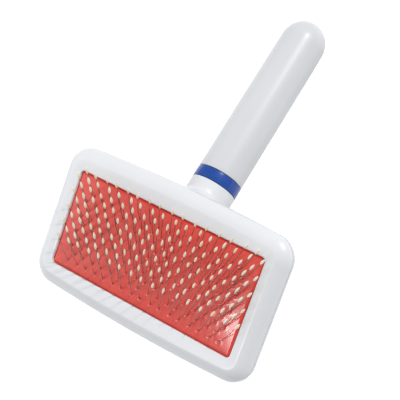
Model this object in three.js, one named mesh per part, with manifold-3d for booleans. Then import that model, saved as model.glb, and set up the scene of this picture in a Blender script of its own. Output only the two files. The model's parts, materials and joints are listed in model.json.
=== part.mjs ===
// Slicker brush for pet grooming: a moulded head with a cushioned wire-pin pad and a round handle.
// Units are millimetres and +Z is up. The brush lies on its back with the pins up, resting on the
// front edge of its head and on the neck of its handle; +Y runs along the handle.
// Head coordinates: the origin is the middle of the pad window on the face of the front frame,
// +x runs across the head, +y towards the handle and +z out of the face.
import * as THREE from 'three';
import { mergeVertices } from 'three/addons/utils/BufferGeometryUtils.js';
import Module from 'manifold-3d';

const wasm = await Module();
wasm.setup();

// ---- driving dimensions ----
const GAP = 0.3; // clearance between neighbouring pieces
const OVERRUN = 1; // cutting solids run this far past the face they cut
const CUTTER_SIZE = 400; // wider than the whole brush

const WINDOW = { halfX: 50, halfY: 22.7, corner: 2, bow: 0 };
const RIM = { halfX: 59.7, halfY: 33.1, corner: 10.5, bow: 1.3 };
const FRAME_EDGE = { size: 5.7, depth: 5.6 }; // rounded outer edge of the front frame
const FRAME_PLATE = 1.8; // thickness of the bezel round the window
const FRAME_WALL = 3.4;

const SHELL_DEPTH = 7.6; // parting line to the flat back
const SHELL_EDGE = { size: 9, depth: 7 };
const SHELL_WALL = 2.4;
const SHELL_FLOOR = 2.2;
const CAVITY_EDGE = { size: 7.5, depth: 5.1 };
const RIB = { halfX: 52.2, halfY: 25.2, corner: 3, wall: 1.8 }; // locates the foam, carries the pad

const PAD_EDGE = { halfX: 53.2, halfY: 26, corner: 3, bow: 0 }; // clamped edge of the pad sheets
const FACING_SHEET = 1;
const FACING_RISE = 1.1; // how far the rubber stands up in the window
const FACING_ROUND = 1;
const FACING_CORNER = 3;
const FOUNDATION_THICKNESS = 1;
const FOAM = { halfX: 48.6, halfY: 21.8, corner: 3, thickness: 5.2 };
const PILLOW_INSET = GAP; // the raised part of the rubber clears the window's edge by this much

const HANDLE_TILT = THREE.MathUtils.degToRad(25.5); // handle axis below the plane of the head
const HANDLE_JOIN = { y: 34.7, z: -31.7 }; // where the coloured ring starts, in head coordinates
const HANDLE_RADIUS = 11;
const RING_LENGTH = 5.3;
const GRIP_END = 93; // from the start of the ring to the end of the dome
const DOME_LENGTH = 12;
const SPIGOT_RADIUS = 8.4;
const SPIGOT_LENGTH = 36;
const SPIGOT_BORE = 6;
const SOCKET_RADIUS = 8.7;
const SOCKET_CLEARANCE = 2; // room past the end of the spigot
const GRIP_BORE = { radius: 7.7, taper: 2, intoDome: 4 }; // the grip's hollow past its socket
const NECK_LENGTH = 33;
const NECK_NOSE = 25; // the neck tapers into the back shell over this length
const NECK_SWELL = { y: 17, z: -13, radii: [14, 17, 17] }; // fairs the neck into the back shell
const NOSE_STEPS = 6;
const DOME_STEPS = 7;
const SWELL_SEGMENTS = { round: 24, down: 14 };
const TURNED_SEGMENTS = 28;
const CORNER_SEGMENTS = 6;
const PILLOW_CORNER_SEGMENTS = 4;
const EDGE_STEPS = 4;

const ROW_COUNT = 10;
const ROW_SPACING = 3.56;
const FIELD_OFFSET = { x: 0.9, y: -2.4 }; // middle of the pin field from the middle of the window
const PIN_PITCH = 5.29;
const PIN_LONG_ROW = 17; // the rows alternate between 17 and 16 pins
const STAPLE_PINCH = 0.27; // each leg stands this much closer to its partner than an even pitch
const WIRE_RADIUS = 0.25;
const WIRE_SIDES = 4;
const CROWN_HEIGHT = 0.6;
const CROWN_WIDTH = 0.5;
const LOWER_LEG = 6.8;
const UPPER_LEG = 10.7;
const PIN_SPREAD = 0.14; // sideways lean grows with the distance from the middle
const PIN_SIDE_LEAN = 3.1;
const LOWER_LEAN = 4.7; // lean of the lower leg towards the handle
const UPPER_LEAN = 8.5;
const LOWER_SHARE = 0.42; // share of the sideways lean taken by the lower leg
const DROP_RADIUS = 0.58;
const DROP_LENGTH = 3.8;
const SLOT_WIDTH = 1.6; // room for a row of legs to flex in the pad
const SLOT_DEPTH = 20;

const REST_TILT = THREE.MathUtils.degToRad(26.1); // head plane to the surface it lies on

// ---- levels in head coordinates ----
const PARTING = -FRAME_EDGE.depth;
const SHELL_TOP = PARTING - GAP;
const BACK = SHELL_TOP - SHELL_DEPTH;
const CAVITY_FLOOR = BACK + SHELL_FLOOR;
const FACING_TOP_OF_SHEET = -FRAME_PLATE - GAP;
const FACING_BOTTOM = FACING_TOP_OF_SHEET - FACING_SHEET;
const FACING_TOP = FACING_TOP_OF_SHEET + FACING_RISE;
const FOUNDATION_TOP = FACING_BOTTOM - GAP;
const FOUNDATION_BOTTOM = FOUNDATION_TOP - FOUNDATION_THICKNESS;
const CROWN_TOP = FOUNDATION_BOTTOM - GAP;
const CROWN_BOTTOM = CROWN_TOP - CROWN_HEIGHT;
const FOAM_TOP = CROWN_BOTTOM - GAP;

// ---- materials ----
const material = (color, roughness, metalness = 0) =>
  new THREE.MeshStandardMaterial({ color, roughness, metalness });
const WHITE_PLASTIC = material(0xe4e6ea, 0.35);
const BLUE_PLASTIC = material(0x2a4f95, 0.3);
const RED_RUBBER = material(0xc23a34, 0.45);
const GREY_CLOTH = material(0x8d8a86, 0.9);
const CREAM_FOAM = material(0xe6dfc9, 0.95);
const STEEL_WIRE = material(0xb9b4ab, 0.35, 0.8);

// ---- helpers ----
function toSolid(geometry) {
  const bare = geometry.index ? geometry.toNonIndexed() : geometry.clone();
  bare.deleteAttribute('normal');
  bare.deleteAttribute('uv');
  const merged = mergeVertices(bare, 1e-4);
  return new wasm.Manifold(new wasm.Mesh({
    numProp: 3,
    vertProperties: new Float32Array(merged.attributes.position.array),
    triVerts: new Uint32Array(merged.index.array),
  }));
}

function toGeometry(solid) {
  const mesh = solid.getMesh();
  const geometry = new THREE.BufferGeometry();
  const vertices = new Float32Array(mesh.vertProperties);
  geometry.setAttribute('position', new THREE.BufferAttribute(vertices, 3));
  geometry.setIndex(new THREE.BufferAttribute(new Uint32Array(mesh.triVerts), 1));
  const flat = geometry.toNonIndexed();
  flat.computeVertexNormals();
  return flat;
}

function outline({ halfX, halfY, corner, bow = 0 }, inset = 0) {
  const x = halfX - inset;
  const y = halfY - inset;
  const r = Math.max(corner - inset, 0.5);
  const shape = new THREE.Shape();
  shape.moveTo(-x + r, -y);
  if (bow > 0) {
    shape.quadraticCurveTo(0, -y - 2 * bow, x - r, -y);
  } else {
    shape.lineTo(x - r, -y);
  }
  shape.absarc(x - r, -y + r, r, -Math.PI / 2, 0, false);
  shape.lineTo(x, y - r);
  shape.absarc(x - r, y - r, r, 0, Math.PI / 2, false);
  if (bow > 0) {
    shape.quadraticCurveTo(0, y + 2 * bow, -x + r, y);
  } else {
    shape.lineTo(-x + r, y);
  }
  shape.absarc(-x + r, y - r, r, Math.PI / 2, Math.PI, false);
  shape.lineTo(-x, -y + r);
  shape.absarc(-x + r, -y + r, r, Math.PI, Math.PI * 1.5, false);
  return shape;
}

// A plate of the given outline between two levels.
function plate(shape, bottom, top) {
  const geometry = new THREE.ExtrudeGeometry(shape, {
    depth: top - bottom,
    bevelEnabled: false,
    curveSegments: CORNER_SEGMENTS,
  });
  geometry.translate(0, 0, bottom);
  return toSolid(geometry);
}

// A plate whose outer edges are rounded to a quarter ellipse, above and below.
function roundedPlate(shape, bottom, top, edge, curveSegments = CORNER_SEGMENTS) {
  const geometry = new THREE.ExtrudeGeometry(shape, {
    depth: top - bottom - 2 * edge.depth,
    bevelEnabled: true,
    bevelThickness: edge.depth,
    bevelSize: edge.size,
    bevelOffset: -edge.size,
    bevelSegments: EDGE_STEPS,
    curveSegments,
  });
  geometry.translate(0, 0, bottom + edge.depth);
  return toSolid(geometry);
}

function slab(bottom, top) {
  const geometry = new THREE.BoxGeometry(CUTTER_SIZE, CUTTER_SIZE, top - bottom);
  geometry.translate(0, 0, (top + bottom) / 2);
  return toSolid(geometry);
}

// A solid of revolution about the handle axis; the profile holds [radius, distance along the axis].
function turned(profile, segments = TURNED_SEGMENTS) {
  const points = profile.map(([radius, along]) => new THREE.Vector2(radius, along));
  return new THREE.LatheGeometry(points, segments);
}

function placeOnHandle(geometry) {
  geometry.rotateX(-HANDLE_TILT);
  geometry.translate(0, HANDLE_JOIN.y, HANDLE_JOIN.z);
  return geometry;
}

// ---- front frame: the white bezel that clamps the pad ----
function frontFrame() {
  const blank = roundedPlate(outline(RIM), 2 * PARTING - OVERRUN, 0, FRAME_EDGE);
  const top = blank.intersect(slab(PARTING, OVERRUN));
  const opening = plate(outline(WINDOW), PARTING - OVERRUN, OVERRUN);
  const hollow = plate(outline(RIM, FRAME_WALL), PARTING - OVERRUN, -FRAME_PLATE);
  return toGeometry(top.subtract(opening).subtract(hollow));
}

// ---- back shell: the rounded tray, its neck and the spigot that carries the handle ----
function neckProfile() {
  const noseBase = -NECK_LENGTH + NECK_NOSE;
  const nose = [];
  for (let i = 0; i <= NOSE_STEPS; i += 1) {
    const angle = (i / NOSE_STEPS) * (Math.PI / 2);
    nose.push([HANDLE_RADIUS * Math.sin(angle), noseBase - NECK_NOSE * Math.cos(angle)]);
  }
  return [
    ...nose,
    [HANDLE_RADIUS, -GAP],
    [SPIGOT_RADIUS, -GAP],
    [SPIGOT_RADIUS, SPIGOT_LENGTH],
    [SPIGOT_BORE, SPIGOT_LENGTH],
    [SPIGOT_BORE, noseBase],
    [0, noseBase],
  ];
}

function neckSwell() {
  const swell = new THREE.SphereGeometry(1, SWELL_SEGMENTS.round, SWELL_SEGMENTS.down);
  swell.scale(...NECK_SWELL.radii);
  swell.translate(0, NECK_SWELL.y, NECK_SWELL.z);
  return toSolid(swell);
}

function backShell() {
  const blankTop = SHELL_TOP + SHELL_EDGE.depth + OVERRUN;
  const blank = roundedPlate(outline(RIM), BACK, blankTop, SHELL_EDGE);
  const tray = blank.intersect(slab(BACK - OVERRUN, SHELL_TOP));
  const neck = toSolid(placeOnHandle(turned(neckProfile())));
  const body = tray.add(neck).add(neckSwell()).intersect(slab(SHELL_TOP - CUTTER_SIZE, SHELL_TOP));
  const cavityTop = SHELL_TOP + CAVITY_EDGE.depth + OVERRUN;
  const cavity = roundedPlate(outline(RIM, SHELL_WALL), CAVITY_FLOOR, cavityTop, CAVITY_EDGE);
  const ribTop = FOUNDATION_BOTTOM - GAP;
  const ribFoot = CAVITY_FLOOR - OVERRUN / 2;
  const ribOuter = plate(outline(RIB), ribFoot, ribTop);
  const ribInner = plate(outline(RIB, RIB.wall), ribFoot - OVERRUN, ribTop + OVERRUN);
  const rib = ribOuter.subtract(ribInner);
  return toGeometry(body.subtract(cavity).add(rib));
}

// ---- pad: rubber facing, cloth foundation and foam, with a slot for each row of pins ----
function rowY(row) {
  return FIELD_OFFSET.y + (row - (ROW_COUNT - 1) / 2) * ROW_SPACING;
}

function rowPinCount(row) {
  return row % 2 === 0 ? PIN_LONG_ROW : PIN_LONG_ROW - 1;
}

// In a row with an odd number of legs the first one stands alone, and the others are in pairs.
function pinX(row, index) {
  const count = rowPinCount(row);
  const single = count % 2;
  const even = FIELD_OFFSET.x + (index - (count - 1) / 2) * PIN_PITCH;
  if (index < single) {
    return even;
  }
  return even + ((index - single) % 2 === 0 ? STAPLE_PINCH : -STAPLE_PINCH);
}

function cutSlots(sheet) {
  const slotLength = PIN_LONG_ROW * PIN_PITCH;
  let cut = sheet;
  for (let row = 0; row < ROW_COUNT; row += 1) {
    const slot = new THREE.BoxGeometry(slotLength, SLOT_WIDTH, SLOT_DEPTH);
    slot.translate(FIELD_OFFSET.x, rowY(row), 0);
    cut = cut.subtract(toSolid(slot));
  }
  return cut;
}

function rubberFacing() {
  const sheet = plate(outline(PAD_EDGE), FACING_BOTTOM, FACING_TOP_OF_SHEET);
  const edge = { size: FACING_ROUND, depth: FACING_ROUND };
  const pillowOutline = outline({ ...WINDOW, corner: FACING_CORNER }, PILLOW_INSET);
  const pillowBottom = FACING_BOTTOM - FACING_ROUND - OVERRUN;
  const pillow = roundedPlate(
    pillowOutline, pillowBottom, FACING_TOP, edge, PILLOW_CORNER_SEGMENTS);
  const raised = pillow.intersect(slab(FACING_BOTTOM, FACING_TOP + OVERRUN));
  return toGeometry(cutSlots(sheet.add(raised)));
}

function clothFoundation() {
  return toGeometry(cutSlots(plate(outline(PAD_EDGE), FOUNDATION_BOTTOM, FOUNDATION_TOP)));
}

function foamCushion() {
  return toGeometry(plate(outline(FOAM), FOAM_TOP - FOAM.thickness, FOAM_TOP));
}

// ---- pin rows: U staples with bent legs and a resin drop on each tip ----
function pinPath(row, index) {
  const x = pinX(row, index);
  const side = PIN_SPREAD * x + PIN_SIDE_LEAN;
  const lowerSide = side * LOWER_SHARE;
  const upperSide = side - lowerSide;
  const lowerRise = Math.sqrt(LOWER_LEG ** 2 - LOWER_LEAN ** 2 - lowerSide ** 2);
  const upperRise = Math.sqrt(UPPER_LEG ** 2 - UPPER_LEAN ** 2 - upperSide ** 2);
  const foot = new THREE.Vector3(x, 0, CROWN_BOTTOM + CROWN_HEIGHT / 2);
  const root = new THREE.Vector3(x, 0, FACING_TOP);
  const knee = root.clone().add(new THREE.Vector3(lowerSide, LOWER_LEAN, lowerRise));
  const tip = knee.clone().add(new THREE.Vector3(upperSide, UPPER_LEAN, upperRise));
  return { foot, root, knee, tip };
}

// A round bar turned about +Y, then bent so that its length follows the leg's corner points.
function bentWire(corners, radii) {
  const tangents = corners.map((corner, i) => {
    const before = corners[Math.max(i - 1, 0)];
    const after = corners[Math.min(i + 1, corners.length - 1)];
    return after.clone().sub(before).normalize();
  });
  const up = new THREE.Vector3(0, 1, 0);
  const turns = tangents.map((tangent) => new THREE.Quaternion().setFromUnitVectors(up, tangent));
  const profile = [[0, 0], ...radii.map((radius, i) => [radius, i])];
  const wire = turned(profile, WIRE_SIDES);
  const position = wire.attributes.position;
  const point = new THREE.Vector3();
  for (let i = 0; i < position.count; i += 1) {
    point.fromBufferAttribute(position, i);
    const station = Math.round(point.y);
    point.setY(0).applyQuaternion(turns[station]).add(corners[station]);
    position.setXYZ(i, point.x, point.y, point.z);
  }
  return toSolid(wire);
}

function pinLeg(row, index) {
  const { foot, root, knee, tip } = pinPath(row, index);
  const upper = knee.distanceTo(tip);
  const dropStart = knee.clone().lerp(tip, 1 - DROP_LENGTH / upper);
  const dropMiddle = knee.clone().lerp(tip, 1 - DROP_LENGTH / 2 / upper);
  const corners = [foot, root, knee, dropStart, dropMiddle, tip];
  const radii = [WIRE_RADIUS, WIRE_RADIUS, WIRE_RADIUS, WIRE_RADIUS, DROP_RADIUS, 0];
  return bentWire(corners, radii);
}

function pinRow(row) {
  const pieces = [];
  const first = pinX(row, 0);
  const last = pinX(row, rowPinCount(row) - 1);
  const crown = new THREE.BoxGeometry(last - first + 2 * WIRE_RADIUS, CROWN_WIDTH, CROWN_HEIGHT);
  crown.translate((first + last) / 2, 0, CROWN_BOTTOM + CROWN_HEIGHT / 2);
  pieces.push(toSolid(crown));
  for (let index = 0; index < rowPinCount(row); index += 1) {
    pieces.push(pinLeg(row, index));
  }
  return toGeometry(wasm.Manifold.union(pieces));
}

// ---- coloured ring and handle grip ----
function colourRing() {
  return turned([
    [SOCKET_RADIUS, 0],
    [HANDLE_RADIUS, 0],
    [HANDLE_RADIUS, RING_LENGTH],
    [SOCKET_RADIUS, RING_LENGTH],
    [SOCKET_RADIUS, 0],
  ]);
}

function handleGrip() {
  const start = RING_LENGTH + GAP;
  const domeStart = GRIP_END - DOME_LENGTH;
  const socketEnd = SPIGOT_LENGTH + SOCKET_CLEARANCE;
  const boreEnd = domeStart + GRIP_BORE.intoDome;
  const profile = [[SOCKET_RADIUS, start], [HANDLE_RADIUS, start]];
  for (let i = 0; i <= DOME_STEPS; i += 1) {
    const angle = (i / DOME_STEPS) * (Math.PI / 2);
    const radius = i === DOME_STEPS ? 0 : HANDLE_RADIUS * Math.cos(angle);
    profile.push([radius, domeStart + DOME_LENGTH * Math.sin(angle)]);
  }
  profile.push([0, boreEnd], [GRIP_BORE.radius, boreEnd]);
  profile.push([GRIP_BORE.radius, socketEnd + GRIP_BORE.taper]);
  profile.push([SOCKET_RADIUS, socketEnd], [SOCKET_RADIUS, start]);
  return turned(profile);
}

// ---- assembly ----
function named(name, geometry, meshMaterial) {
  const mesh = new THREE.Mesh(geometry, meshMaterial);
  mesh.name = name;
  return mesh;
}

const head = new THREE.Group();
head.rotation.x = REST_TILT;
head.add(named('front_frame', frontFrame(), WHITE_PLASTIC));
head.add(named('back_shell', backShell(), WHITE_PLASTIC));
head.add(named('rubber_facing', rubberFacing(), RED_RUBBER));
head.add(named('cloth_foundation', clothFoundation(), GREY_CLOTH));
head.add(named('foam_cushion', foamCushion(), CREAM_FOAM));
for (let row = 0; row < ROW_COUNT; row += 1) {
  const mesh = named(`pin_row_${String(row + 1).padStart(2, '0')}`, pinRow(row), STEEL_WIRE);
  mesh.position.y = rowY(row);
  head.add(mesh);
}

const handle = new THREE.Group();
handle.position.set(0, HANDLE_JOIN.y, HANDLE_JOIN.z);
handle.rotation.x = -HANDLE_TILT;
handle.add(named('colour_ring', colourRing(), BLUE_PLASTIC));
handle.add(named('handle_grip', handleGrip(), WHITE_PLASTIC));
head.add(handle);

const brush = new THREE.Group();
brush.add(head);
brush.updateMatrixWorld(true);
const bounds = new THREE.Box3().setFromObject(brush, true);
const middle = bounds.getCenter(new THREE.Vector3());
brush.position.set(-middle.x, -middle.y, -bounds.min.z);

export default brush;
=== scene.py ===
"""Looks of the slicker brush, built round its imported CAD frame.

Sizes are millimetres in head coordinates: the origin is the middle of the pad window on the face
of the front frame, x runs across the head, y towards the handle and z out of the face.
to_row() turns them into the row frame's metres.
"""
import json
import math
import random

import bmesh
import bpy
import numpy as np
from mathutils import Matrix, Vector


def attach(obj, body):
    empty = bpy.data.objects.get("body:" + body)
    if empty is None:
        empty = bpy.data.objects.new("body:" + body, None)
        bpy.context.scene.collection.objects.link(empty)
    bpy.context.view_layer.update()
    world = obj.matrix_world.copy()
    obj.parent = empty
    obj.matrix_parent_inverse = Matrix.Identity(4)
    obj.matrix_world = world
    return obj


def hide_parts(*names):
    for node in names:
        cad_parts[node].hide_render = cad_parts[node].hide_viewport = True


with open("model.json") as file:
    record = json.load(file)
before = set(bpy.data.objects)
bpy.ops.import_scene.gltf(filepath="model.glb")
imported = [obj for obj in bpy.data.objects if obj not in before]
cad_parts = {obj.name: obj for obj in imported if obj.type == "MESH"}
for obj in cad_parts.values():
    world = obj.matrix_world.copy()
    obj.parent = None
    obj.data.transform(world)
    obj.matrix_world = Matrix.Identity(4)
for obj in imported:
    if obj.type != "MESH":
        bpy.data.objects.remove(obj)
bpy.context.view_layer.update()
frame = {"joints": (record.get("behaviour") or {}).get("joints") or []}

# ---- sizes ----
MM = 0.001
GAP = 0.3

WINDOW = {"half_x": 50, "half_y": 22.7, "corner": 2, "bow": 0}
RIM = {"half_x": 59.7, "half_y": 33.1, "corner": 10.5, "bow": 1.3}
PAD_EDGE = {"half_x": 53.2, "half_y": 26, "corner": 3, "bow": 0}
FOAM = {"half_x": 48.6, "half_y": 21.8, "corner": 3, "bow": 0}

FRAME_EDGE = (5.7, 5.6)  # how far the rounded edge runs in, and how deep
FRAME_PLATE = 1.8
FRAME_WALL = 3.4
FACE_DISH = 0.35  # the face falls this much from its ridge to the window
RIDGE_FILLET = 0.7
RIDGE_FALL = 0.14  # share of the fillet that the ridge falls
RIDGE_SLOPE = math.radians(22)  # at which the rounded edge leaves the ridge
WINDOW_FILLET = 0.45
PARTING_CHAMFER = 0.35

PARTING = -FRAME_EDGE[1]
SHELL_TOP = PARTING - GAP
BACK = SHELL_TOP - 7.6
SHELL_EDGE = (9, 7)
SHELL_WALL = 2.4
CAVITY_FLOOR = BACK + 2.2
CAVITY_EDGE = (7.5, 5.1)

HANDLE_TILT = math.radians(25.5)
HANDLE_JOIN = np.array([0, 34.7, -31.7])
HANDLE_RADIUS = 11
RING_LENGTH = 5.3
GRIP_END = 93
DOME_LENGTH = 12
SOCKET_RADIUS = 8.7
SPIGOT_RADIUS = 8.4
SPIGOT_LENGTH = 36
BORE_RADIUS = 7.7
RING_EDGE = 0.14
RING_CROWN = 0.05
GRIP_EDGE = 0.3
NECK_NOSE = 25
NOSE_BASE = -8
NECK_SWELL = {"middle": np.array([0, 17, -13]), "radii": np.array([14, 17, 17])}
JOIN_BLEND = 3  # how softly the neck runs into the back
LEAST_BLEND = 0.1  # near the parting line, where the blend fades out
BLEND_START = 0.6
BLEND_RUN = 6
SWELL_BLEND = 1.2
SHELL_VOXEL = 1.0

SHEET_TOP = -2.1
SHEET_BOTTOM = -3.1
CLOTH_TOP = -3.4
CLOTH_BOTTOM = -4.2
CROWN_LEVEL = -4.9
FOAM_TOP = -5.6
FOAM_BOTTOM = -10.8

FIELD_OFFSET = (0.9, -2.4)  # middle of the pin field from the middle of the window
PIVOT_LEVEL = -3.0
PIN_PITCH = 5.29
LONG_ROW = 17
STAPLE_PINCH = 0.27
ROOT_LEVEL = -0.9
LOWER_LEG = 6.8
UPPER_LEG = 10.7
PIN_SPREAD = 0.14
PIN_SIDE_LEAN = 3.1
LOWER_LEAN = 4.7
UPPER_LEAN = 8.5
LOWER_SHARE = 0.42
WIRE_RADIUS = 0.16
DROP_RADIUS = 0.58
DROP_LENGTH = 4.2
DROP_PAST_TIP = 0.35
DROP_LENGTH_SPREAD = (-0.5, 0.3)
DROP_GIRTH_SPREAD = (0.88, 1.06)
CROWN_BEND = 0.4
LEG_BENDS = (0.6, 0.7)  # at the root and at the knee
HOOK_LENGTH = 0.9
PIN_SEED = 500  # with the spreads below, picked so that rows don't touch at the joint limits
SIDE_SPREAD = 0.1
LOWER_SIDE_SPREAD = 0.08
LOWER_LEAN_SPREAD = 0.1
UPPER_LEAN_SPREAD = 0.15

SHOULDER = {"rise": 1.1, "start": 0.3, "run": 1.6}
CROWN_RISE = 1.0  # of the pad's middle over its shoulder
DIMPLE = {"depth": 0.25, "radius": 0.5, "reach": 2.2}
DIMPLE_RIM = {"height": 0.04, "at": 1.1, "width": 0.5}
PAD_GRID = 0.45
CLOTH_GRID = 0.8
WEAVE_HEIGHT = 0.05
WEAVE_PITCH = 4
FOAM_EDGE = 0.8
FOAM_BULGE = 0.25

# ---- light and camera ----
KEY = {"towards": (0.95, 2.2, 1.0), "distance": 1.3, "size": 0.004, "power": 9}
FILL = {"towards": (-0.8, -0.15, 0.6), "distance": 0.7, "size": 0.6, "power": 1.7}
GLARE = {"towards": (-0.18, -0.36, 0.9), "distance": 0.67, "size": 0.07, "power": 1.1}
SKY = {"colour": (0.97, 0.985, 1.0, 1), "strength": 0.56}
FLOOR_HALF = 3
FLOOR_GLOW = 0.5
CAMERA_AT = np.array([204.8, 105.5, 359.9])
CAMERA_TARGET = np.array([12.5, 33.2, 0])
CAMERA_UP = (-0.377, 0.926, 0.015)
CAMERA_LENS = 88.66

# ---- the head's place in the row frame ----
pivots = [Vector(joint["pos_m"]) for joint in sorted(frame["joints"], key=lambda j: j["name"])]
ROW_COUNT = len(pivots)
HEAD_X = Vector((1, 0, 0))
HEAD_Y = (pivots[-1] - pivots[0]).normalized()
HEAD_Z = HEAD_X.cross(HEAD_Y)
HEAD_AXES = np.array([HEAD_X, HEAD_Y, HEAD_Z])
HEAD_ORIGIN = np.array(
    (pivots[0] + pivots[-1]) / 2 - (HEAD_Y * FIELD_OFFSET[1] + HEAD_Z * PIVOT_LEVEL) * MM
)
ROW_SPACING = (pivots[-1] - pivots[0]).length / (ROW_COUNT - 1) / MM


def to_row(points):
    """Head millimetres to row-frame metres."""
    return HEAD_ORIGIN + np.asarray(points, float) @ HEAD_AXES * MM


def direction(x, y, z):
    return Vector(np.array([x, y, z], float) @ HEAD_AXES)


# ---- mesh helpers ----
def new_object(name, vertices, faces):
    """A mesh object whose vertices are still head millimetres, with its faces pointing out."""
    mesh = bpy.data.meshes.new(name)
    mesh.from_pydata([tuple(map(float, v)) for v in vertices], [], [tuple(map(int, f)) for f in faces])
    work = bmesh.new()
    work.from_mesh(mesh)
    bmesh.ops.recalc_face_normals(work, faces=work.faces)
    work.to_mesh(mesh)
    work.free()
    piece = bpy.data.objects.new(name, mesh)
    bpy.context.scene.collection.objects.link(piece)
    return piece


def put_in_row(piece, sharp_degrees=35):
    """Moves the vertices from head millimetres to the row frame, and sets smooth shading."""
    mesh = piece.data
    points = np.empty(len(mesh.vertices) * 3)
    mesh.vertices.foreach_get("co", points)
    mesh.vertices.foreach_set("co", to_row(points.reshape(-1, 3)).ravel())
    mesh.shade_smooth()
    mesh.set_sharp_from_angle(angle=math.radians(sharp_degrees))
    mesh.update()
    return piece


def loft(rings, wrap=False, caps=True):
    """Quads between rings of equal count; wrap joins the last ring to the first."""
    count = len(rings[0])
    faces = []
    for i in range(len(rings) if wrap else len(rings) - 1):
        a = i * count
        b = (i + 1) % len(rings) * count
        for j in range(count):
            k = (j + 1) % count
            faces.append((a + j, a + k, b + k, b + j))
    if caps and not wrap:
        faces.append(tuple(range(count)))
        faces.append(tuple(range(len(rings) * count - 1, (len(rings) - 1) * count - 1, -1)))
    return np.concatenate(rings), faces


def apply_modifiers(piece):
    evaluated = piece.evaluated_get(bpy.context.evaluated_depsgraph_get())
    mesh = bpy.data.meshes.new_from_object(evaluated)
    piece.modifiers.clear()
    old = piece.data
    piece.data = mesh
    bpy.data.meshes.remove(old)
    return piece


def boolean(piece, other, operation):
    modifier = piece.modifiers.new("cut", "BOOLEAN")
    modifier.operation = operation
    modifier.object = other
    modifier.solver = "EXACT"
    apply_modifiers(piece)
    bpy.data.objects.remove(other)
    return piece


def ellipse_steps(size, depth, steps):
    """(inset, rise) along a quarter ellipse, from flush with the side to the full inset."""
    angles = [i / steps * math.pi / 2 for i in range(steps + 1)]
    return [(size * (1 - math.cos(a)), depth * math.sin(a)) for a in angles]


def outline(shape, inset=0, level=0.0, corner_steps=14, long_steps=56, short_steps=22):
    """A rounded rectangle at a level, with long sides that bulge by bow and run into the corners."""
    half_x = shape["half_x"] - inset
    half_y = shape["half_y"] - inset
    r = max(shape["corner"] - inset, 0.5)
    bow = shape["bow"]
    centre_x = half_x - r
    lean = math.atan(2 * bow / centre_x)
    meet_x = centre_x + r * math.sin(lean)
    bulge = lambda x: half_y + bow - bow * (x / centre_x) ** 2
    centre_y = bulge(meet_x) - r * math.cos(lean)
    points = []
    for side in (-1, 1):
        for i in range(long_steps):
            x = meet_x * (2 * i / long_steps - 1)
            points.append((-side * x, side * bulge(x)))
        for i in range(corner_steps):
            a = lean + (math.pi / 2 - lean) * i / corner_steps
            points.append((-side * (centre_x + r * math.sin(a)), side * (centre_y + r * math.cos(a))))
        for i in range(short_steps):
            y = centre_y * (1 - 2 * i / short_steps)
            points.append((-side * half_x, side * y))
        for i in range(corner_steps):
            a = (math.pi / 2 - lean) * i / corner_steps
            x = centre_x + r * math.cos(a)
            points.append((-side * x, -side * (centre_y + r * math.sin(a))))
    flat = np.array(points)
    return np.column_stack([flat, np.full(len(flat), level)])


# ---- materials ----
class Nodes:
    """A procedural material with object coordinates in metres."""

    def __init__(self, name, **sockets):
        self.material = bpy.data.materials.new(name)
        self.material.use_nodes = True
        self.tree = self.material.node_tree
        self.shader = self.tree.nodes["Principled BSDF"]
        for socket, value in sockets.items():
            self.shader.inputs[socket.replace("_", " ")].default_value = value
        self.place = self.tree.nodes.new("ShaderNodeTexCoord").outputs["Object"]

    def link(self, source, target):
        self.tree.links.new(source, target)

    def noise(self, scale, detail=3.0, stretch=None, roughness=0.5):
        node = self.tree.nodes.new("ShaderNodeTexNoise")
        node.inputs["Scale"].default_value = scale
        node.inputs["Detail"].default_value = detail
        node.inputs["Roughness"].default_value = roughness
        source = self.place
        if stretch:
            mapping = self.tree.nodes.new("ShaderNodeMapping")
            mapping.inputs["Scale"].default_value = stretch
            self.link(source, mapping.inputs["Vector"])
            source = mapping.outputs["Vector"]
        self.link(source, node.inputs["Vector"])
        return node.outputs["Fac"]

    def ramp(self, fac, *stops):
        node = self.tree.nodes.new("ShaderNodeValToRGB")
        elements = node.color_ramp.elements
        while len(elements) < len(stops):
            elements.new(0.5)
        for element, (position, colour) in zip(elements, stops):
            element.position = position
            element.color = (*colour, 1)
        self.link(fac, node.inputs["Fac"])
        return node.outputs["Color"]

    def grey(self, fac, low, high, start=0.3, end=0.7):
        return self.ramp(fac, (start, (low,) * 3), (end, (high,) * 3))

    def mix(self, fac, a, b, blend="MIX"):
        node = self.tree.nodes.new("ShaderNodeMix")
        node.data_type = "RGBA"
        node.blend_type = blend
        for socket, value in (("Factor", fac), ("A", a), ("B", b)):
            target = next(s for s in node.inputs if s.name == socket and s.enabled)
            if isinstance(value, bpy.types.NodeSocket):
                self.link(value, target)
            elif socket == "Factor":
                target.default_value = value
            else:
                target.default_value = (*value, 1)
        return next(s for s in node.outputs if s.enabled)

    def bump(self, height, strength, distance):
        node = self.tree.nodes.new("ShaderNodeBump")
        node.inputs["Strength"].default_value = strength
        node.inputs["Distance"].default_value = distance
        self.link(height, node.inputs["Height"])
        if self.shader.inputs["Normal"].is_linked:
            self.link(self.shader.inputs["Normal"].links[0].from_socket, node.inputs["Normal"])
        self.link(node.outputs["Normal"], self.shader.inputs["Normal"])

    def set(self, socket, source):
        self.link(source, self.shader.inputs[socket])


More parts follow.
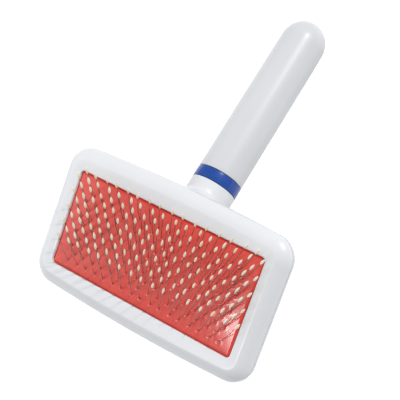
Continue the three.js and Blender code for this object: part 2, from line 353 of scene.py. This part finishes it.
def white_plastic(name, shade):
    """White moulded plastic; a shade below 1 darkens it, as painted shade."""
    tint = lambda *colour: tuple(shade * channel for channel in colour)
    nodes = Nodes(name, IOR=1.49)
    clouds = nodes.noise(35, 2)
    specks = nodes.noise(900, 4)
    tone = nodes.ramp(clouds, (0.3, tint(0.775, 0.785, 0.81)), (0.7, tint(0.80, 0.81, 0.83)))
    nodes.set("Base Color", nodes.mix(nodes.grey(specks, 0, 0.25, 0.55, 0.8), tone, tint(0.75, 0.76, 0.785)))
    handling = nodes.noise(160, 5, stretch=(1, 0.25, 1))
    nodes.set("Roughness", nodes.grey(handling, 0.30, 0.42, 0.35, 0.65))
    nodes.bump(nodes.noise(700, 2), 0.10, 0.0001)
    return nodes.material


def blue_plastic():
    nodes = Nodes("blue_plastic", IOR=1.5)
    nodes.shader.inputs["Coat Weight"].default_value = 0.1
    nodes.shader.inputs["Specular IOR Level"].default_value = 0.3
    nodes.shader.inputs["Coat Roughness"].default_value = 0.12
    clouds = nodes.noise(120, 3)
    nodes.set("Base Color", nodes.ramp(clouds, (0.3, (0.010, 0.060, 0.31)), (0.7, (0.018, 0.080, 0.37))))
    nodes.set("Roughness", nodes.grey(nodes.noise(500, 4), 0.22, 0.34))
    nodes.bump(nodes.noise(900, 2), 0.08, 0.0001)
    return nodes.material


def red_rubber():
    nodes = Nodes("red_rubber", IOR=1.5)
    nodes.shader.inputs["Coat Weight"].default_value = 0.3
    nodes.shader.inputs["Coat Roughness"].default_value = 0.16
    nodes.shader.inputs["Specular IOR Level"].default_value = 0.3
    clouds = nodes.noise(70, 3)
    tone = nodes.ramp(clouds, (0.3, (0.70, 0.050, 0.034)), (0.7, (0.82, 0.070, 0.048)))
    blotches = nodes.noise(420, 4)
    nodes.set("Base Color", nodes.mix(nodes.grey(blotches, 0, 0.5, 0.5, 0.75), tone, (0.58, 0.038, 0.026)))
    nodes.set("Roughness", nodes.grey(nodes.noise(260, 4), 0.36, 0.52))
    nodes.bump(nodes.noise(1500, 3), 0.15, 0.0001)
    nodes.bump(nodes.noise(240, 2), 0.04, 0.0003)
    return nodes.material


def grey_cloth():
    nodes = Nodes("grey_cloth", Roughness=0.9)
    nodes.shader.inputs["Sheen Weight"].default_value = 0.3
    warp = nodes.tree.nodes.new("ShaderNodeTexWave")
    weft = nodes.tree.nodes.new("ShaderNodeTexWave")
    for wave, axis in ((warp, "X"), (weft, "Y")):
        wave.bands_direction = axis
        wave.inputs["Scale"].default_value = 600
        wave.inputs["Distortion"].default_value = 0.4
        nodes.link(nodes.place, wave.inputs["Vector"])
    weave = nodes.mix(0.5, warp.outputs["Color"], weft.outputs["Color"], "MULTIPLY")
    nodes.set("Base Color", nodes.ramp(weave, (0.2, (0.24, 0.225, 0.21)), (0.8, (0.46, 0.44, 0.41))))
    nodes.bump(weave, 0.6, 0.0002)
    return nodes.material


def cream_foam():
    nodes = Nodes("cream_foam", Roughness=0.95)
    cells = nodes.tree.nodes.new("ShaderNodeTexVoronoi")
    cells.inputs["Scale"].default_value = 1400
    nodes.link(nodes.place, cells.inputs["Vector"])
    fac = cells.outputs["Distance"]
    nodes.set("Base Color", nodes.ramp(fac, (0.1, (0.52, 0.46, 0.33)), (0.6, (0.84, 0.79, 0.66))))
    nodes.bump(fac, 0.7, 0.0004)
    return nodes.material


def steel_wire():
    nodes = Nodes("steel_wire", Metallic=1.0)
    tone = nodes.noise(300, 3)
    # the dark reddish-brown base colour is painted shade and a painted reflection of the red pad
    nodes.set("Base Color", nodes.ramp(tone, (0.3, (0.17, 0.11, 0.085)), (0.7, (0.31, 0.23, 0.18))))
    nodes.set("Roughness", nodes.grey(nodes.noise(1200, 3), 0.24, 0.42))
    nodes.bump(nodes.noise(4000, 2), 0.2, 0.00003)
    return nodes.material


def cream_resin():
    nodes = Nodes("cream_resin", IOR=1.5)
    nodes.shader.inputs["Coat Weight"].default_value = 0.3
    nodes.shader.inputs["Coat Roughness"].default_value = 0.08
    tone = nodes.noise(190, 1)
    nodes.set("Base Color", nodes.ramp(tone, (0.35, (0.96, 0.93, 0.78)), (0.65, (0.93, 0.86, 0.62))))
    nodes.set("Roughness", nodes.grey(nodes.noise(800, 2), 0.2, 0.34))
    nodes.bump(nodes.noise(1600, 2), 0.1, 0.0001)
    return nodes.material


WHITE = white_plastic("white_plastic", 1.0)
# the grip gets a darker copy of the same white plastic: painted shade
GRIP_WHITE_PAINTED_SHADE = white_plastic("grip_plastic_painted_shade", 0.85)
BLUE = blue_plastic()
RED = red_rubber()
CLOTH = grey_cloth()
FOAM_LOOK = cream_foam()
STEEL_PAINTED_SHADE_AND_REFLECTION = steel_wire()
RESIN = cream_resin()


def place(piece, material, slot, body, *nodes, sharp_degrees=35):
    """Finishes a piece: its place, material, body and the CAD nodes that it stands for; slot is not used."""
    put_in_row(piece, sharp_degrees)
    piece.data.materials.clear()
    piece.data.materials.append(material)
    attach(piece, body)
    if nodes:
        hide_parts(*nodes)
    return piece


# ---- front frame ----
def between(shape_a, shape_b, inset_b, share, level):
    mixed = outline(shape_a) * (1 - share) + outline(shape_b, inset_b) * share
    mixed[:, 2] = level
    return mixed


def front_frame():
    run, depth = FRAME_EDGE
    rings = [outline(WINDOW, 0, -FRAME_PLATE), outline(WINDOW, 0, -FACE_DISH - WINDOW_FILLET)]
    for inset, rise in ellipse_steps(WINDOW_FILLET, WINDOW_FILLET, 4)[1:]:
        rings.append(outline(WINDOW, -inset, -FACE_DISH - WINDOW_FILLET + rise))
    face_steps = 5
    for i in range(1, face_steps):
        share = i / face_steps
        rings.append(between(WINDOW, RIM, run + RIDGE_FILLET, share, -FACE_DISH * (1 - share)))
    arc_run = 1 - math.sin(RIDGE_SLOPE)
    arc_drop = math.cos(RIDGE_SLOPE)
    ridge_drop = RIDGE_FILLET * RIDGE_FALL
    for i in range(6):
        share = i / 5
        level = -ridge_drop * share**2
        rings.append(outline(RIM, run + RIDGE_FILLET * (0.5 - share), level))
    slope_run = run - RIDGE_FILLET * 0.5
    slope_drop = depth - ridge_drop - PARTING_CHAMFER
    for i in range(1, 13):
        a = RIDGE_SLOPE + (math.pi / 2 - RIDGE_SLOPE) * i / 12
        out = (math.sin(a) - math.sin(RIDGE_SLOPE)) / arc_run
        down = (math.cos(RIDGE_SLOPE) - math.cos(a)) / arc_drop
        rings.append(outline(RIM, slope_run * (1 - out), -ridge_drop - slope_drop * down))
    rings.append(outline(RIM, 0.0, PARTING + PARTING_CHAMFER))
    rings.append(outline(RIM, PARTING_CHAMFER, PARTING))
    rings.append(outline(RIM, FRAME_WALL, PARTING))
    rings.append(outline(RIM, FRAME_WALL, -FRAME_PLATE))
    piece = new_object("front_frame_moulding", *loft(rings, wrap=True))
    return place(piece, WHITE, "white_plastic", "brush_body", "front_frame")


# ---- back shell ----
def soft_union(a, b, k):
    h = np.clip(0.5 + 0.5 * (b - a) / k, 0, 1)
    return b * (1 - h) + a * h - k * h * (1 - h)


def ellipsoid_distance(local, radii):
    q = np.maximum(np.linalg.norm(local / radii, axis=1), 1e-6)
    return (1 - 1 / q) * np.linalg.norm(local, axis=1)


def tray_distance(points):
    x, y, z = np.abs(points[:, 0]), np.abs(points[:, 1]), points[:, 2]
    centre_x = RIM["half_x"] - RIM["corner"]
    half_y = RIM["half_y"] + RIM["bow"] * np.maximum(1 - (x / centre_x) ** 2, 0)
    qx = x - centre_x
    qy = y - (half_y - RIM["corner"])
    side = np.hypot(np.maximum(qx, 0), np.maximum(qy, 0)) + np.minimum(np.maximum(qx, qy), 0)
    side -= RIM["corner"]
    run, depth = SHELL_EDGE
    u = side / run + 1
    v = (BACK - z) / depth + 1
    both = (u > 0) & (v > 0)
    q = np.where(both, np.hypot(u, v), 1)
    corner = (1 - 1 / np.maximum(q, 1e-6)) * np.hypot(run * u, depth * v)
    return np.where(both, corner, np.maximum(side, BACK - z))


HANDLE_ALONG = np.array([0, math.cos(HANDLE_TILT), -math.sin(HANDLE_TILT)])
HANDLE_UP = np.array([0, math.sin(HANDLE_TILT), math.cos(HANDLE_TILT)])
HANDLE_ACROSS = np.array([1.0, 0, 0])


def neck_distance(points):
    local = points - HANDLE_JOIN
    along = local @ HANDLE_ALONG
    radius = np.linalg.norm(local - along[:, None] * HANDLE_ALONG, axis=1)
    nose = np.column_stack([radius, np.minimum(along - NOSE_BASE, 0)])
    q = np.maximum(np.hypot(radius / HANDLE_RADIUS, nose[:, 1] / NECK_NOSE), 1e-6)
    return (1 - 1 / q) * np.hypot(radius, nose[:, 1])


def shell_distance(points):
    fade = np.clip((SHELL_TOP - BLEND_START - points[:, 2]) / BLEND_RUN, 0, 1)
    blend = LEAST_BLEND + JOIN_BLEND * fade
    swell = ellipsoid_distance(points - NECK_SWELL["middle"], NECK_SWELL["radii"])
    neck = soft_union(neck_distance(points), swell, blend * SWELL_BLEND)
    return soft_union(tray_distance(points), neck, blend)


def settle_on_surface(piece, distance, rounds=5, step=0.02):
    """Newton steps that bring every vertex onto the surface where distance is zero."""
    mesh = piece.data
    points = np.empty(len(mesh.vertices) * 3)
    mesh.vertices.foreach_get("co", points)
    points = points.reshape(-1, 3)
    for _ in range(rounds):
        value = distance(points)
        slope = np.column_stack([
            (distance(points + step * axis) - distance(points - step * axis)) / (2 * step)
            for axis in np.eye(3)
        ])
        size = np.maximum((slope**2).sum(1), 0.05)
        points -= np.clip(value / size, -1.5, 1.5)[:, None] * slope
    mesh.vertices.foreach_set("co", points.ravel())
    mesh.update()


def turned(profile, segments=96):
    """Rings of a profile of (radius, distance along the handle) turned about the handle's axis."""
    angles = np.arange(segments) / segments * 2 * math.pi
    around = np.cos(angles)[:, None] * HANDLE_ACROSS + np.sin(angles)[:, None] * HANDLE_UP
    return [HANDLE_JOIN + along * HANDLE_ALONG + radius * around for radius, along in profile]


def cut_away(piece, point, normal):
    """Removes what lies beyond a plane and closes the cut."""
    work = bmesh.new()
    work.from_mesh(piece.data)
    geometry = work.verts[:] + work.edges[:] + work.faces[:]
    cut = bmesh.ops.bisect_plane(
        work, geom=geometry, plane_co=Vector(point), plane_no=Vector(normal), clear_outer=True, dist=1e-4
    )
    edges = [g for g in cut["geom_cut"] if isinstance(g, bmesh.types.BMEdge)]
    bmesh.ops.edgeloop_fill(work, edges=edges)
    work.to_mesh(piece.data)
    work.free()


def back_shell():
    rough_rings = [outline(RIM, SHELL_EDGE[0], BACK)]
    for inset, rise in reversed(ellipse_steps(*SHELL_EDGE, 6)):
        rough_rings.append(outline(RIM, inset, BACK + SHELL_EDGE[1] - rise))
    rough_rings.append(outline(RIM, 0, SHELL_TOP + 6))
    tray = new_object("back_shell_moulding", *loft(rough_rings))
    nose = []
    for i in range(1, 13):
        a = i / 12 * math.pi / 2
        nose.append((HANDLE_RADIUS * math.sin(a), NOSE_BASE - NECK_NOSE * math.cos(a)))
    neck = new_object("neck", *loft(turned([*nose, (HANDLE_RADIUS, 8)], 48)))
    swell_mesh = bpy.data.meshes.new("swell")
    ball = bmesh.new()
    bmesh.ops.create_icosphere(ball, subdivisions=4, radius=1)
    ball.to_mesh(swell_mesh)
    ball.free()
    swell = bpy.data.objects.new("swell", swell_mesh)
    bpy.context.scene.collection.objects.link(swell)
    stretch = Matrix.Diagonal((*NECK_SWELL["radii"], 1))
    swell_mesh.transform(Matrix.Translation(NECK_SWELL["middle"]) @ stretch)
    join(tray, neck, swell)
    modifier = tray.modifiers.new("even", "REMESH")
    modifier.mode = "VOXEL"
    modifier.voxel_size = SHELL_VOXEL
    apply_modifiers(tray)
    settle_on_surface(tray, shell_distance)
    cut_away(tray, (0, 0, SHELL_TOP), (0, 0, 1))
    cut_away(tray, HANDLE_JOIN - GAP * HANDLE_ALONG, HANDLE_ALONG)
    cavity_rings = [outline(RIM, SHELL_WALL + CAVITY_EDGE[0], CAVITY_FLOOR)]
    for inset, rise in reversed(ellipse_steps(*CAVITY_EDGE, 6)[:-1]):
        cavity_rings.append(outline(RIM, SHELL_WALL + inset, CAVITY_FLOOR + CAVITY_EDGE[1] - rise))
    cavity_rings.append(outline(RIM, SHELL_WALL, SHELL_TOP + 5))
    boolean(tray, new_object("cavity", *loft(cavity_rings)), "DIFFERENCE")
    spigot = [(SPIGOT_RADIUS, -3), (SPIGOT_RADIUS, SPIGOT_LENGTH - 1), (SPIGOT_RADIUS - 1, SPIGOT_LENGTH)]
    boolean(tray, new_object("spigot", *loft(turned(spigot))), "UNION")
    return place(tray, WHITE, "white_plastic", "brush_body", "back_shell")


def join(piece, *others):
    work = bmesh.new()
    for part in (piece, *others):
        work.from_mesh(part.data)
    work.to_mesh(piece.data)
    work.free()
    for part in others:
        bpy.data.objects.remove(part)
    return piece


# ---- ring and grip ----
def colour_ring():
    edge = RING_EDGE
    profile = [(SOCKET_RADIUS, 0), (HANDLE_RADIUS - edge, 0)]
    for inset, rise in reversed(ellipse_steps(edge, edge, 3)[:-1]):
        profile.append((HANDLE_RADIUS - inset, edge - rise))
    profile.append((HANDLE_RADIUS + RING_CROWN, RING_LENGTH / 2))
    for inset, rise in ellipse_steps(edge, edge, 3):
        profile.append((HANDLE_RADIUS - inset, RING_LENGTH - edge + rise))
    profile.append((SOCKET_RADIUS, RING_LENGTH))
    piece = new_object("colour_ring_moulding", *loft(turned(profile), wrap=True))
    return place(piece, BLUE, "blue_plastic", "brush_body", "colour_ring", sharp_degrees=50)


def handle_grip():
    start = RING_LENGTH + GAP
    edge = GRIP_EDGE
    profile = []
    for inset, rise in reversed(ellipse_steps(edge, edge, 4)):
        profile.append((HANDLE_RADIUS - inset, start + edge - rise))
    dome_start = GRIP_END - DOME_LENGTH
    side_steps = 30
    for i in range(1, side_steps + 1):
        share = i / side_steps
        profile.append((HANDLE_RADIUS, start + edge + (dome_start - start - edge) * share))
    dome_steps = 22
    for i in range(1, dome_steps):
        a = i / dome_steps * math.pi / 2
        profile.append((HANDLE_RADIUS * math.cos(a), dome_start + DOME_LENGTH * math.sin(a)))
    inner = [(4, dome_start + 4), (BORE_RADIUS, dome_start), (BORE_RADIUS, SPIGOT_LENGTH + 4)]
    inner += [(SOCKET_RADIUS, SPIGOT_LENGTH + 2), (SOCKET_RADIUS, start)]
    rings = turned(profile)
    vertices, faces = loft(rings, caps=False)
    count = len(rings[0])
    tip = len(vertices)
    last = tip - count
    faces += [(last + j, last + (j + 1) % count, tip) for j in range(count)]
    bore = turned(inner)
    bore_vertices, bore_faces = loft(bore, caps=False)
    shift = tip + 1
    faces += [tuple(shift + i for i in face) for face in bore_faces]
    faces.append(tuple(shift + j for j in range(count)))
    mouth = shift + len(bore_vertices) - count
    faces += [(mouth + j, mouth + (j + 1) % count, (j + 1) % count, j) for j in range(count)]
    end = HANDLE_JOIN + GRIP_END * HANDLE_ALONG
    piece = new_object("handle_grip_moulding", np.vstack([vertices, end, bore_vertices]), faces)
    return place(piece, GRIP_WHITE_PAINTED_SHADE, "white_plastic", "brush_body", "handle_grip")


# ---- pins ----
def row_y(row):
    return FIELD_OFFSET[1] + (row - (ROW_COUNT - 1) / 2) * ROW_SPACING


def pin_count(row):
    return LONG_ROW if row % 2 == 0 else LONG_ROW - 1


def pin_x(row, index):
    count = pin_count(row)
    single = count % 2
    even = FIELD_OFFSET[0] + (index - (count - 1) / 2) * PIN_PITCH
    if index < single:
        return even
    return even + (STAPLE_PINCH if (index - single) % 2 == 0 else -STAPLE_PINCH)


def leg_corners(row, index, chance):
    """Foot under the cloth, root in the rubber, knee and tip of one leg, slightly uneven."""
    x, y = pin_x(row, index), row_y(row)
    side = PIN_SPREAD * x + PIN_SIDE_LEAN + chance.gauss(0, SIDE_SPREAD)
    lower_side = side * LOWER_SHARE + chance.gauss(0, LOWER_SIDE_SPREAD)
    upper_side = side - lower_side
    lower_lean = LOWER_LEAN + chance.gauss(0, LOWER_LEAN_SPREAD)
    upper_lean = UPPER_LEAN + chance.gauss(0, UPPER_LEAN_SPREAD)
    lower_rise = math.sqrt(LOWER_LEG**2 - lower_lean**2 - lower_side**2)
    upper_rise = math.sqrt(UPPER_LEG**2 - upper_lean**2 - upper_side**2)
    foot = np.array([x, y, CROWN_LEVEL])
    root = np.array([x, y, ROOT_LEVEL])
    knee = root + (lower_side, lower_lean, lower_rise)
    tip = knee + (upper_side, upper_lean, upper_rise)
    return [foot, root, knee, tip]


def rounded_path(corners, radii, steps=4):
    """The corner points with each inner corner turned into a short curve."""
    points = [corners[0]]
    for before, corner, after, radius in zip(corners, corners[1:], corners[2:], radii):
        start = corner + (before - corner) / np.linalg.norm(before - corner) * radius
        end = corner + (after - corner) / np.linalg.norm(after - corner) * radius
        for i in range(steps + 1):
            t = i / steps
            points.append((1 - t) ** 2 * start + 2 * t * (1 - t) * corner + t**2 * end)
    points.append(corners[-1])
    return np.array(points)


def tube(path, radius, sides=8):
    tangents = np.gradient(path, axis=0)
    tangents /= np.linalg.norm(tangents, axis=1)[:, None]
    across = np.cross(tangents[0], (0.3, 1, 0.2))
    rings = []
    angles = np.arange(sides) / sides * 2 * math.pi
    for point, tangent in zip(path, tangents):
        across = across - tangent * (across @ tangent)
        across /= np.linalg.norm(across)
        up = np.cross(tangent, across)
        rings.append(point + radius * (np.cos(angles)[:, None] * across + np.sin(angles)[:, None] * up))
    return loft(rings)


def spindle(start, end, radius, sides=12, steps=11):
    """A drop of resin, pointed at both ends and fullest just past the middle."""
    axis = (end - start) / np.linalg.norm(end - start)
    across = np.cross(axis, (1, 0, 0))
    across /= np.linalg.norm(across)
    up = np.cross(axis, across)
    angles = np.arange(sides) / sides * 2 * math.pi
    rings = []
    for i in range(steps + 1):
        t = i / steps
        girth = radius * max(math.sin(math.pi * t**0.9), 0) ** 0.85 + 0.03
        rings.append(start + (end - start) * t
                     + girth * (np.cos(angles)[:, None] * across + np.sin(angles)[:, None] * up))
    return loft(rings)


def gather(parts):
    """Joins (vertices, faces) pairs into one."""
    vertices, faces, shift = [], [], 0
    for part_vertices, part_faces in parts:
        vertices.append(part_vertices)
        faces += [tuple(shift + i for i in face) for face in part_faces]
        shift += len(part_vertices)
    return np.concatenate(vertices), faces


def pin_row(row):
    chance = random.Random(PIN_SEED + row)
    legs = [leg_corners(row, index, chance) for index in range(pin_count(row))]
    wires, drops = [], []
    first = pin_count(row) % 2
    if first:
        hook = legs[0][0] + (HOOK_LENGTH, 0, 0)
        path = rounded_path([hook, *legs[0]], [CROWN_BEND, *LEG_BENDS])
        wires.append(tube(path, WIRE_RADIUS))
    for index in range(first, len(legs), 2):
        left, right = legs[index], legs[index + 1]
        corners = [*reversed(left), *right]
        path = rounded_path(corners, [*reversed(LEG_BENDS), CROWN_BEND, CROWN_BEND, *LEG_BENDS])
        wires.append(tube(path, WIRE_RADIUS))
    for foot, root, knee, tip in legs:
        length = DROP_LENGTH + chance.uniform(*DROP_LENGTH_SPREAD)
        lean = (tip - knee) / np.linalg.norm(tip - knee)
        girth = DROP_RADIUS * chance.uniform(*DROP_GIRTH_SPREAD)
        drops.append(spindle(tip - lean * (length - DROP_PAST_TIP), tip + lean * DROP_PAST_TIP, girth))
    number = f"{row + 1:02d}"
    body = f"pins_{number}"
    wire_piece = new_object(f"pin_wires_{number}", *gather(wires))
    place(wire_piece, STEEL_PAINTED_SHADE_AND_REFLECTION, "steel_wire", body, f"pin_row_{number}", sharp_degrees=60)
    drop_piece = new_object(f"pin_drops_{number}", *gather(drops))
    place(drop_piece, RESIN, "steel_wire", body, f"pin_row_{number}", sharp_degrees=80)
    drop_piece.visible_shadow = False  # their shadows would be blobs on the frame
    return [root for _, root, _, _ in legs]


# ---- pad ----
def grid_sheet(name, half_x, half_y, spacing, top, bottom):
    """A closed sheet over a rectangle; top and bottom give a level for arrays of x and y."""
    nx = int(round(2 * half_x / spacing)) + 1
    ny = int(round(2 * half_y / spacing)) + 1
    x, y = np.meshgrid(np.linspace(-half_x, half_x, nx), np.linspace(-half_y, half_y, ny))
    x, y = x.ravel(), y.ravel()
    vertices = np.vstack([
        np.column_stack([x, y, top(x, y)]),
        np.column_stack([x, y, bottom(x, y)]),
    ])
    count = nx * ny
    faces = []
    for j in range(ny - 1):
        for i in range(nx - 1):
            a = j * nx + i
            faces.append((a, a + 1, a + nx + 1, a + nx))
            faces.append((count + a, count + a + nx, count + a + nx + 1, count + a + 1))
    border = [i for i in range(nx)] + [j * nx + nx - 1 for j in range(1, ny)]
    border += [(ny - 1) * nx + i for i in range(nx - 2, -1, -1)] + [j * nx for j in range(ny - 2, 0, -1)]
    for a, b in zip(border, border[1:] + border[:1]):
        faces.append((a, count + a, count + b, b))
    return new_object(name, vertices, faces)


def smooth(value):
    value = np.clip(value, 0, 1)
    return value * value * (3 - 2 * value)


def pad_facing(roots):
    roots = np.array(roots)

    def top(x, y):
        inside = np.minimum(WINDOW["half_x"] - np.abs(x), WINDOW["half_y"] - np.abs(y))
        shoulder = SHOULDER["rise"] * smooth((inside + SHOULDER["start"]) / SHOULDER["run"])
        belly_x = 1 - np.clip(np.abs(x) / WINDOW["half_x"], 0, 1) ** 4
        belly_y = 1 - np.clip(np.abs(y) / WINDOW["half_y"], 0, 1) ** 2.5
        level = SHEET_TOP + shoulder + CROWN_RISE * belly_x * belly_y
        for root_x, root_y, _ in roots:
            reach = DIMPLE["reach"]
            near = np.flatnonzero((np.abs(x - root_x) < reach) & (np.abs(y - root_y) < reach))
            away = np.hypot(x[near] - root_x, y[near] - root_y)
            hollow = DIMPLE["depth"] * np.exp(-((away / DIMPLE["radius"]) ** 2))
            from_rim = (away - DIMPLE_RIM["at"]) / DIMPLE_RIM["width"]
            level[near] -= hollow - DIMPLE_RIM["height"] * np.exp(-(from_rim**2))
        return level

    piece = grid_sheet("pad_rubber_facing", PAD_EDGE["half_x"], PAD_EDGE["half_y"], PAD_GRID,
                       top, lambda x, y: np.full_like(x, SHEET_BOTTOM))
    place(piece, RED, "red_rubber", "brush_body", "rubber_facing", sharp_degrees=60)


def pad_cloth():
    weave = lambda x, y: WEAVE_HEIGHT * np.sin(x * WEAVE_PITCH) * np.sin(y * WEAVE_PITCH)
    piece = grid_sheet("pad_backing_cloth", PAD_EDGE["half_x"], PAD_EDGE["half_y"], CLOTH_GRID,
                       lambda x, y: CLOTH_TOP - 0.1 + weave(x, y), lambda x, y: CLOTH_BOTTOM + weave(x, y))
    place(piece, CLOTH, "grey_cloth", "brush_body", "cloth_foundation")


def pad_foam():
    edge = FOAM_EDGE
    rings = []
    for inset, rise in reversed(ellipse_steps(edge, edge, 4)):
        rings.append(outline(FOAM, inset, FOAM_BOTTOM + edge - rise))
    for i in range(1, 6):
        share = i / 6
        level = FOAM_BOTTOM + edge + (FOAM_TOP - FOAM_BOTTOM - 2 * edge) * share
        rings.append(outline(FOAM, -FOAM_BULGE * math.sin(math.pi * share), level))
    for inset, rise in ellipse_steps(edge, edge, 4):
        rings.append(outline(FOAM, inset, FOAM_TOP - edge + rise))
    piece = new_object("pad_foam_block", *loft(rings))
    place(piece, FOAM_LOOK, "cream_foam", "brush_body", "foam_cushion")


# ---- stage, light and camera ----
def floor():
    corners = [(FLOOR_HALF * x, FLOOR_HALF * y, 0) for x, y in ((-1, -1), (1, -1), (1, 1), (-1, 1))]
    mesh = bpy.data.meshes.new("floor")
    mesh.from_pydata(corners, [], [(0, 1, 2, 3)])
    ground = bpy.data.objects.new("floor", mesh)
    bpy.context.scene.collection.objects.link(ground)
    nodes = Nodes("pale_floor", Roughness=0.9)
    nodes.shader.inputs["Emission Color"].default_value = (1, 1, 1, 1)
    nodes.shader.inputs["Emission Strength"].default_value = FLOOR_GLOW
    nodes.set("Base Color", nodes.grey(nodes.noise(3, 2), 0.85, 0.88))
    mesh.materials.append(nodes.material)
    ground.visible_diffuse = False  # so that the brush's lower sides keep their shade


def area_light(name, towards, distance, size, power):
    data = bpy.data.lights.new(name, "AREA")
    data.shape = "DISK"
    data.size = size
    data.energy = power
    lamp = bpy.data.objects.new(name, data)
    bpy.context.scene.collection.objects.link(lamp)
    target = Vector(to_row((0, 20, 0)))
    way = direction(*towards).normalized()
    lamp.location = target + way * distance
    lamp.rotation_mode = "QUATERNION"
    lamp.rotation_quaternion = way.to_track_quat("Z", "Y")
    return lamp


def studio():
    world = bpy.data.worlds.new("studio")
    bpy.context.scene.world = world
    world.use_nodes = True
    background = world.node_tree.nodes["Background"]
    background.inputs["Color"].default_value = SKY["colour"]
    background.inputs["Strength"].default_value = SKY["strength"]
    area_light("key", **KEY)
    area_light("fill", **FILL)
    glare = area_light("glare", **GLARE)
    glare.visible_diffuse = False  # it only makes the shine on the pad
    bpy.context.scene.view_settings.view_transform = "Standard"


def camera():
    data = bpy.data.cameras.new("camera")
    data.sensor_width = 36
    data.lens = CAMERA_LENS
    eye = bpy.data.objects.new("camera", data)
    bpy.context.scene.collection.objects.link(eye)
    eye.location = to_row(CAMERA_AT)
    back = direction(*(CAMERA_AT - CAMERA_TARGET)).normalized()
    up = direction(*CAMERA_UP)
    right = up.cross(back).normalized()
    up = back.cross(right)
    eye.rotation_mode = "QUATERNION"
    eye.rotation_quaternion = Matrix((right, up, back)).transposed().to_quaternion()
    data.clip_start = 0.01
    data.clip_end = 20
    bpy.context.scene.camera = eye


camera()
studio()
floor()
front_frame()
back_shell()
colour_ring()
handle_grip()
pad_foam()
pad_cloth()
pin_roots = [root for row in range(ROW_COUNT) for root in pin_row(row)]
pad_facing(pin_roots)
